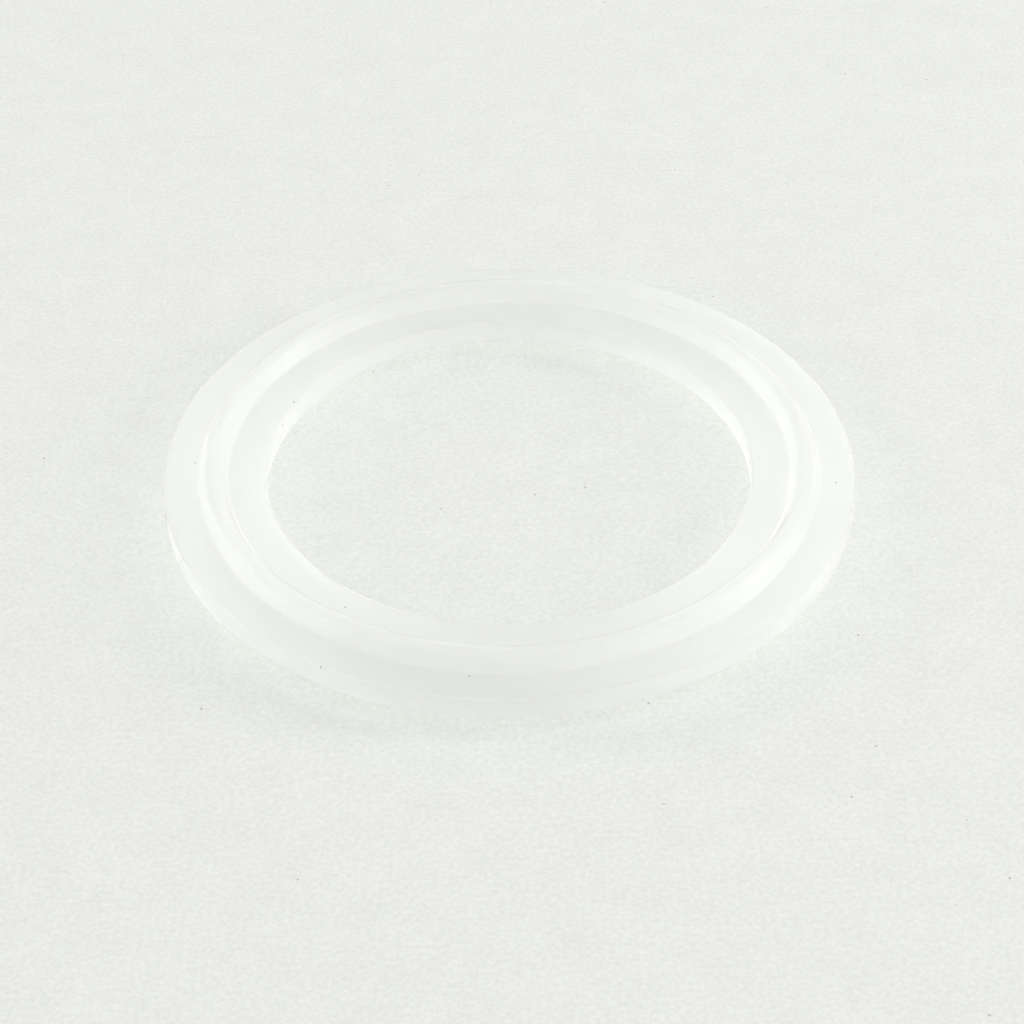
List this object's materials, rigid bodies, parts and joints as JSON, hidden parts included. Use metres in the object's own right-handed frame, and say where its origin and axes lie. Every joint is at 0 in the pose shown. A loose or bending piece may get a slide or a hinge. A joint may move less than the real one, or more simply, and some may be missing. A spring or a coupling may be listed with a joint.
{
  "type": "sanitary clamp gasket",
  "caption": "Flat silicone ring with a round sealing bead on both faces, for a clamped joint between two pipe ferrules.",
  "frame": {"origin": "centre of the bore, midway between the two faces", "axes": "+Z along the bore axis, out of the face that lies upward; the ring is the same in every direction about Z and the same upside down"},
  "size_m": [0.0506, 0.0506, 0.0044],
  "materials": {
    "silicone": "satin"
  },
  "bodies": {
    "root": {"gasket": "silicone"}
  },
  "joints": []
}
